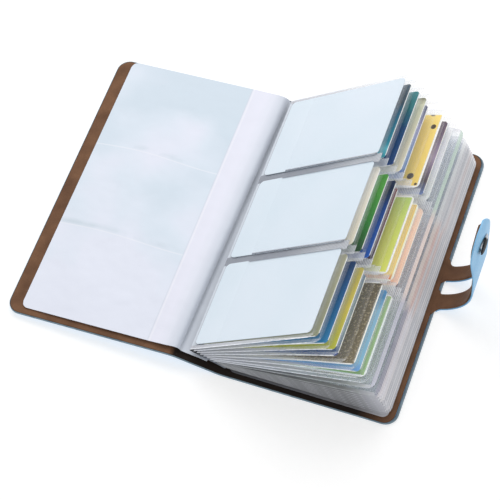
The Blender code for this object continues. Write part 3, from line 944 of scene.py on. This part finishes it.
flat_start = first_fold + first_heading * FLAT_FROM
flat_shares = list(np.linspace(0, 1, FLAT_STEPS + 1)[:-2])
flat_shares += list(np.linspace((FLAT_STEPS - 1) / FLAT_STEPS, 1, END_STEPS + 1))
flat_run = [flat_start + (first_end - flat_start) * share for share in flat_shares]
run = smooth_run(ROLL, ROLL_STEPS)[:-1]
run += smooth_run([ROLL[-1], flat_run[0]], EASE_STEPS)[:-1] + flat_run
lengths = [0.0]
for a, b in zip(run, run[1:]):
    lengths.append(lengths[-1] + (b - a).length)
root_length = max(length for length, point in zip(lengths, run) if point.x > GUTTER_FOOT.x)
verts = []
for level in (-FILM_BODY / 2, FILM_BODY / 2):
    for i, point in enumerate(run):
        heading = (run[min(i + 1, len(run) - 1)] - run[max(i - 1, 0)]).normalized()
        upward = Vector((heading.z, 0.0, -heading.x))
        past_corner = max(lengths[i] - (lengths[-1] - FIRST_CORNER), 0.0)
        narrowed = FIRST_CORNER - sqrt(max(FIRST_CORNER**2 - past_corner**2, 0.0))
        past_foot = max(lengths[i] - root_length, 0.0)
        gathered = GATHER * max(1 - past_foot / GATHER_REACH, 0.0) ** 2
        for y in np.linspace(narrowed - FIRST_FRONT, FIRST_BACK - narrowed - gathered, CROSS_FILM + 1):
            skewed = GUTTER_SKEW * (y / FIRST_FRONT - 1) * max(1 - past_foot / MOUTH, 0.0)
            verts.append(point + upward * level + Vector((skewed, y, skewed * SPINE_SLOPE)))
columns = CROSS_FILM + 1
layer = columns * len(run)
faces = []
for i in range(len(run) - 1):
    for j in range(CROSS_FILM):
        a = i * columns + j
        faces.append((a, a + 1, a + 1 + columns, a + columns))
        faces.append((layer + a, layer + a + columns, layer + a + 1 + columns, layer + a + 1))
rim = list(range(columns))
rim += [i * columns + columns - 1 for i in range(1, len(run))]
rim += [(len(run) - 1) * columns + j for j in range(columns - 2, -1, -1)]
rim += [i * columns for i in range(len(run) - 2, 0, -1)]
faces += [(a, a + layer, b + layer, b) for a, b in zip(rim, rim[1:] + rim[:1])]

FIRST_HAZE = 0.97
FIRST_WAVE = 0.025
FIRST_BUMP = 0.0015
GUTTER_SHADE_TONES = (
    (0.0, (214, 221, 233)),
    (0.06, (192, 199, 212)),
    (0.18, (210, 216, 228)),
    (0.40, (229, 232, 244)),
    (0.60, (234, 235, 248)),
    (1.0, (231, 232, 245)),
)
POCKET_TONES = ((0.42, (229, 233, 246)), (0.58, (220, 230, 242)), (0.72, (210, 223, 235)))
POCKET_PATCH = 0.05
BLUER_BACK = 2.2
MOUTH_SOFT = 0.0005
WELDS = ((0.030, 0.0016), (-0.030, 0.0012))
WELD_WAVES = 60.0
WELD_PATCH = 0.018
WELD_SHADE = (198, 212, 222)
WELD_SHINE = (240, 242, 250)
MOUTH_SHADE = (206, 214, 226)
MOUTH_SHINE = (244, 245, 252)
WELD_SHADOW = (0.0022, 0.0030)
WELD_LINE = (0.0, 0.0006)
SHADOW_PATCHES = (0.45, 0.25)
MOUTH_SHADOW = (MOUTH + 0.0004, 0.0006)
MOUTH_GLINT = (MOUTH - 0.0008, 0.0007)
SHADOW_SHARE = 0.75
SHADE_SHARE = 0.5
SHINE_SHARE = 0.6
frosted, tree, shader = new_material("frosted_film", 0.45)
place = own_place(tree)
along, across, _ = parts_of(tree, place)
from_gutter = minus(tree, GUTTER_FOOT.x, along)
skewed = minus(tree, maths(tree, "DIVIDE", across, FIRST_FRONT), 1.0)
from_foot = plus(tree, from_gutter, times(tree, skewed, GUTTER_SKEW))
# Painted shade: the film greys where the roll turns down into the gutter, darkest a little way from its foot.
gutter_shade = tones(tree, maths(tree, "DIVIDE", from_foot, MOUTH), *GUTTER_SHADE_TONES)
pocket_patches = grain(tree, place, POCKET_PATCH, 2.0)
blue_part = plus(tree, pocket_patches, times(tree, across, BLUER_BACK))
in_pocket = past(tree, from_gutter, MOUTH, MOUTH_SOFT)
tone = mixed(tree, in_pocket, gutter_shade, tones(tree, blue_part, *POCKET_TONES))
wave = maths(tree, "SINE", times(tree, from_gutter, WELD_WAVES))
for weld_at, sag in WELDS:
    line = minus(tree, plus(tree, across, times(tree, wave, sag)), weld_at)
    shade = past(tree, grain(tree, place, WELD_PATCH), *SHADOW_PATCHES)
    shade = times(tree, times(tree, shade, in_pocket), SHADOW_SHARE)
    shadow = times(tree, near(tree, line, *WELD_SHADOW), shade)
    tone = mixed(tree, shadow, tone, WELD_SHADE)
    thin = times(tree, near(tree, line, *WELD_LINE), times(tree, in_pocket, SHINE_SHARE))
    tone = mixed(tree, thin, tone, WELD_SHINE)
mouth_line = times(tree, near(tree, from_gutter, *MOUTH_SHADOW), SHADE_SHARE)
tone = mixed(tree, mouth_line, tone, MOUTH_SHADE)
bright_line = times(tree, near(tree, from_gutter, *MOUTH_GLINT), SHINE_SHARE)
tone = mixed(tree, bright_line, tone, MOUTH_SHINE)
paint(tree, shader, tone)
shader.inputs["Alpha"].default_value = FIRST_HAZE
bump(tree, shader, grain(tree, place, FIRST_WAVE, 2.0), FIRST_BUMP)
first_leaf = new_piece("first_leaf", verts, faces, frosted)
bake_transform(first_leaf)
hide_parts("leaf_00", "leaf_00_margin")

# Strap: cut in one with the back cover, brown inside and blue outside, and split by a long
# slot into two legs. It bends at its root and again where it stands up.
STRAP_HALF = 0.015
SLOT_HALF = 0.00465
SLOT_END = 0.0285
STRAP_FILLET = 0.0045
FLARE_BACK = 0.0010
STRAP_CUT = 0.014
STRAP_SOFT = 0.0002
STRAP_ACROSS = 9
STRAP_TURN = 0.0002
TONGUE_TURN = 0.0035
TURN_RISE = (0.025, 0.01)
TONGUE_SHORTER = 0.010
FRONT_TIP = 0.013
BACK_TIP = 0.030
CURL = 0.0026
CURL_RISE = (0.012, 0.026)
CURL_FRONT = (-0.004, 0.019)
BACK_LEAN = 0.0022
LEAN_RISE = (0.040, 0.012)
TAB_LIFT = 0.00005
LEAST_WIDTH = 0.0001
UNDER_COVER = [-0.0022, -0.0010]
FILLET_STEPS = 8
LEG_FROM = 0.0055
LEG_STEPS = 7
SLOT_STEPS = 9
TONGUE_STEPS = 13
TIP_STEPS = 23
strap_root = hinge_at["strap_fold"]
strap_knee = hinge_at["tongue_fold"]
start_lift = radians(22.0)
strap_radius = (strap_knee.x - strap_root.x) / (1.0 - sin(start_lift))
arc_run = strap_radius * (pi / 2 - start_lift)
tongue_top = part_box("strap_tongue_skin")[1].z
strap_reach = arc_run + tongue_top - strap_knee.z - TONGUE_SHORTER


def strap_at(run):
    """The inner face's point and heading, from the root up to the tip."""
    if run < 0:
        return strap_root + Vector((run, 0.0, TAB_LIFT)), Vector((1.0, 0.0, 0.0))
    if run > arc_run:
        return strap_knee + Vector((0.0, 0.0, run - arc_run)), Vector((0.0, 0.0, 1.0))
    lift = start_lift + run / strap_radius
    middle = strap_knee - Vector((strap_radius, 0.0, 0.0))
    return middle + Vector((sin(lift), 0.0, -cos(lift))) * strap_radius, Vector((cos(lift), 0.0, sin(lift)))


def rise(value, start, width):
    """0 below a start, rising to 1 over a width."""
    return min(max((value - start) / width, 0.0), 1.0)


def curl(run, across):
    """How far in the tongue bends: its front corner curls, and its back leans at the top."""
    height = rise(run - arc_run, *CURL_RISE)
    front = rise(-across, *CURL_FRONT)
    above = rise(run - arc_run, *LEAN_RISE)
    curled = CURL * height * height * (3 - 2 * height) * front * front * (3 - 2 * front)
    return curled + BACK_LEAN * above * above * (1 - front)


def strap_outer(run, side):
    """Half the strap's width: flared at its root and round at its tip, more so at the back."""
    left = strap_reach - run
    tip = BACK_TIP if side > 0 else FRONT_TIP
    if left < tip:
        return STRAP_HALF * sqrt(max(1 - (1 - left / tip) ** 2, 1e-6))
    flare = min(max(1 - (run + FLARE_BACK) / STRAP_FILLET, 0.0), 1.0)
    return STRAP_HALF + STRAP_FILLET * (1 - sqrt(1 - flare**2))


def strap_inner(run):
    """Half the slot's width: round at both its ends."""
    if run >= SLOT_END:
        return 0.0
    flare = min(max(1 - (run + FLARE_BACK) / (STRAP_FILLET / 2), 0.0), 1.0)
    closing = max(run - (SLOT_END - SLOT_HALF), 0.0)
    return sqrt(max(SLOT_HALF**2 - closing**2, 0.0)) - STRAP_FILLET / 2 * (1 - sqrt(1 - flare**2))


def strap_layer(name, runs, low, top, inset, finish):
    """One layer of the strap along the given runs, between two depths."""
    verts = []
    faces = []
    for side in (-1, 1):
        rings = []
        for along in runs:
            point, heading = strap_at(along)
            inward = Vector((-heading.z, 0.0, heading.x))
            inner = strap_inner(along)
            inner += min(inset, inner)
            more_turn = TONGUE_TURN - STRAP_TURN if inset else 0.0
            turned = inset + more_turn * rise(along, *TURN_RISE)
            outer = max(strap_outer(along, side) - turned, inner + LEAST_WIDTH)
            soft_in = min(STRAP_SOFT, inner)
            soft_out = min(STRAP_SOFT, (outer - inner) / 3)
            top_row = [(y, top) for y in np.linspace(inner + soft_in, outer - soft_out, STRAP_ACROSS)]
            low_row = [(y, low) for y in np.linspace(outer - soft_out, inner + soft_in, STRAP_ACROSS)]
            ring = [(inner, top - soft_in)] + top_row + [(outer, top - soft_out), (outer, low + soft_out)]
            ring += low_row + [(inner, low + soft_in)]
            rings.append(range(len(verts), len(verts) + len(ring)))
            for y, depth in ring:
                bent = depth + curl(along, side * y)
                verts.append(point + inward * bent + Vector((0.0, side * y, 0.0)))
        for i, (ring, after) in enumerate(zip(rings, rings[1:])):
            joined = strap_inner(runs[i]) == 0.0 and strap_inner(runs[i + 1]) == 0.0
            for j in range(len(ring) - 1 if joined else len(ring)):
                k = (j + 1) % len(ring)
                faces.append((ring[j], ring[k], after[k], after[j]))
        faces.append(tuple(rings[0]))
        faces.append(tuple(rings[-1]))
    return new_piece(name, verts, faces, finish)


root_runs = UNDER_COVER + list(np.linspace(0.0, STRAP_FILLET, FILLET_STEPS + 1))
root_runs += list(np.linspace(LEG_FROM, STRAP_CUT, LEG_STEPS + 1))
slot_round = SLOT_END - SLOT_HALF
slot_runs = list(np.linspace(STRAP_CUT, slot_round, LEG_STEPS + 1))[:-1]
slot_runs += [slot_round + SLOT_HALF * sin(pi / 2 * t) for t in np.linspace(0, 1, SLOT_STEPS + 1)]
tip_round = strap_reach - BACK_TIP
tongue_runs = list(np.linspace(SLOT_END, tip_round, TONGUE_STEPS + 1))[1:-1]
tongue_runs += [tip_round + BACK_TIP * sin(pi / 2 * t) for t in np.linspace(0, 1, TIP_STEPS + 1)]
for layer_name, low, top, inset, skipped, finish, slot, node in (
    ("leather", -cover_thickness, skin_front, 0.0, 2, LEATHER, "blue_leather", "skin"),
    ("suede", skin_front + LINING_GAP, 0.0, STRAP_TURN, 0, SUEDE, "brown_suede", "lining"),
):
    root_piece = strap_layer(f"strap_root_{layer_name}", root_runs[skipped:], low, top, inset, finish)
    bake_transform(root_piece)
    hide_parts(f"strap_legs_{node}")
    end_piece = strap_layer(f"strap_end_{layer_name}", slot_runs + tongue_runs, low, top, inset, finish)
    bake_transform(end_piece)
    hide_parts(f"strap_legs_{node}", f"strap_tongue_{node}")

# Snap: a pressed steel fastener. Its outer cap is black enamel with a painted highlight of bright
# steel on one side of its rim, and the stud under the front cover stays bright.
STEEL_GRAIN = 0.0015
STEEL_DARK = (178, 180, 184)
STEEL_PALE = (214, 216, 220)
STEEL_BUMP = 0.00002
ENAMEL_GLOSS = 0.2
ENAMEL_GRAIN = 0.002
ENAMEL_DARK = (14, 14, 16)
ENAMEL_PALE = (34, 34, 38)
CAP_HIGHLIGHT_TONE = (200, 204, 210)
HIGHLIGHT_FROM = 0.62
HIGHLIGHT_SOFT = 0.0003
HIGHLIGHT_SIDE = (0.0008, 0.0006)
steel, tree, shader = new_material("bright_steel", 0.22)
shader.inputs["Metallic"].default_value = 1.0
scratch = grain(tree, own_place(tree), STEEL_GRAIN)
tone = mottled(tree, scratch, STEEL_DARK, STEEL_PALE)
paint(tree, shader, tone)
bump(tree, shader, scratch, STEEL_BUMP)
cap_low, cap_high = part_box("snap_cap")
enamel, tree, shader = new_material("black_enamel", 0.55)
shader.inputs["Specular IOR Level"].default_value = ENAMEL_GLOSS
place = own_place(tree, (cap_low + cap_high) / 2)
cap_across, cap_above = parts_of(tree, place)[1:]
squares = [maths(tree, "POWER", side, 2.0) for side in (cap_across, cap_above)]
from_axis = maths(tree, "SQRT", plus(tree, *squares))
# Painted highlight: bright steel on one side of the cap's rim only, where the light catches it.
highlight_rim = past(tree, from_axis, (cap_high.y - cap_low.y) / 2 * HIGHLIGHT_FROM, HIGHLIGHT_SOFT)
highlight_rim = times(tree, highlight_rim, past(tree, cap_across, *HIGHLIGHT_SIDE))
enamel_patches = grain(tree, place, ENAMEL_GRAIN)
tone = mottled(tree, enamel_patches, ENAMEL_DARK, ENAMEL_PALE)
tone = mixed(tree, highlight_rim, tone, CAP_HIGHLIGHT_TONE)
paint(tree, shader, tone)
tree.links.new(highlight_rim, shader.inputs["Metallic"])
for name, finish in (("snap_stud", steel), ("snap_socket", steel), ("snap_cap", enamel)):
    give_finish(name, finish)

# Table: one flat sheet of pale paper that runs out of sight on all sides. The book lies on
# it, and its soft shadow falls there.
FLOOR = 3.0
PAPER_PATCH = 0.004
PAPER_DARK = (0.50, 0.50, 0.50)
PAPER_PALE = (0.52, 0.52, 0.52)
PAPER_GLOW = 0.58
mesh = bpy.data.meshes.new("table")
corners = [(-FLOOR, -FLOOR, 0), (FLOOR, -FLOOR, 0), (FLOOR, FLOOR, 0), (-FLOOR, FLOOR, 0)]
mesh.from_pydata(corners, [], [(0, 1, 2, 3)])
table = bpy.data.objects.new("table", mesh)
bpy.context.collection.objects.link(table)
paper, tree, shader = new_material("table_paper", 0.9)
weave = grain(tree, own_place(tree), PAPER_PATCH)
tone = ramp(tree, weave, (0.3, PAPER_DARK), (0.7, PAPER_PALE))
paint(tree, shader, tone)
shader.inputs["Emission Strength"].default_value = PAPER_GLOW
mesh.materials.append(paper)

# Light: soft daylight from a wide window above and behind the book, and an even light from
# all round. The room itself shows as plain white.
WHITE = (1.0, 1.0, 1.0, 1.0)
ROOM_LIGHT = 0.66
WINDOW_LONG = 1.2
WINDOW_HIGH = 0.8
WINDOW_POWER = 8.5
WINDOW_AT = (-0.35, 0.75, 1.1)
world = bpy.data.worlds.new("daylight")
bpy.context.scene.world = world
world.use_nodes = True
world_tree = world.node_tree
sky = world_tree.nodes["Background"]
sky.inputs["Color"].default_value = WHITE
sky.inputs["Strength"].default_value = ROOM_LIGHT
white = world_tree.nodes.new("ShaderNodeBackground")
white.inputs["Color"].default_value = WHITE
white.inputs["Strength"].default_value = 1.0
rays = world_tree.nodes.new("ShaderNodeLightPath")
pick = world_tree.nodes.new("ShaderNodeMixShader")
world_tree.links.new(rays.outputs["Is Camera Ray"], pick.inputs["Fac"])
world_tree.links.new(sky.outputs[0], pick.inputs[1])
world_tree.links.new(white.outputs[0], pick.inputs[2])
world_tree.links.new(pick.outputs[0], world_tree.nodes["World Output"].inputs["Surface"])

lamp_data = bpy.data.lights.new("window", "AREA")
lamp_data.shape = "RECTANGLE"
lamp_data.size = WINDOW_LONG
lamp_data.size_y = WINDOW_HIGH
lamp_data.energy = WINDOW_POWER
lamp = bpy.data.objects.new("window", lamp_data)
lamp.location = WINDOW_AT
lamp.rotation_euler = (Vector((0, 0, 0)) - lamp.location).to_track_quat("-Z", "Y").to_euler()
bpy.context.collection.objects.link(lamp)

# Camera: from the front right, looking down at the open book with a long lens. It is tipped
# a little, as in the photograph, and light may pass through every leaf of film.
AZIMUTH = radians(24.31)
ELEVATION = radians(60.18)
ROLL_ANGLE = radians(-5.56)
DISTANCE = 1.1232
AIM = Vector((-0.06411, -0.01036, 0.0))
LENS = 134.5
SENSOR = 36.0
FILM_PASSES = 96
LIGHT_BOUNCES = 10
away = Vector((sin(AZIMUTH) * cos(ELEVATION), -cos(AZIMUTH) * cos(ELEVATION), sin(ELEVATION)))
level = (-away).cross(Vector((0.0, 0.0, 1.0))).normalized()
upright = level.cross(-away)
right = level * cos(ROLL_ANGLE) + upright * sin(ROLL_ANGLE)
up = upright * cos(ROLL_ANGLE) - level * sin(ROLL_ANGLE)
camera_data = bpy.data.cameras.new("camera")
camera_data.lens = LENS
camera_data.sensor_width = SENSOR
camera = bpy.data.objects.new("camera", camera_data)
turned = Matrix((right, up, away)).transposed().to_4x4()
camera.matrix_world = Matrix.Translation(AIM + away * DISTANCE) @ turned
bpy.context.collection.objects.link(camera)
bpy.context.scene.camera = camera
bpy.context.scene.view_settings.view_transform = "Standard"
bpy.context.scene.cycles.transparent_max_bounces = FILM_PASSES
bpy.context.scene.cycles.max_bounces = LIGHT_BOUNCES
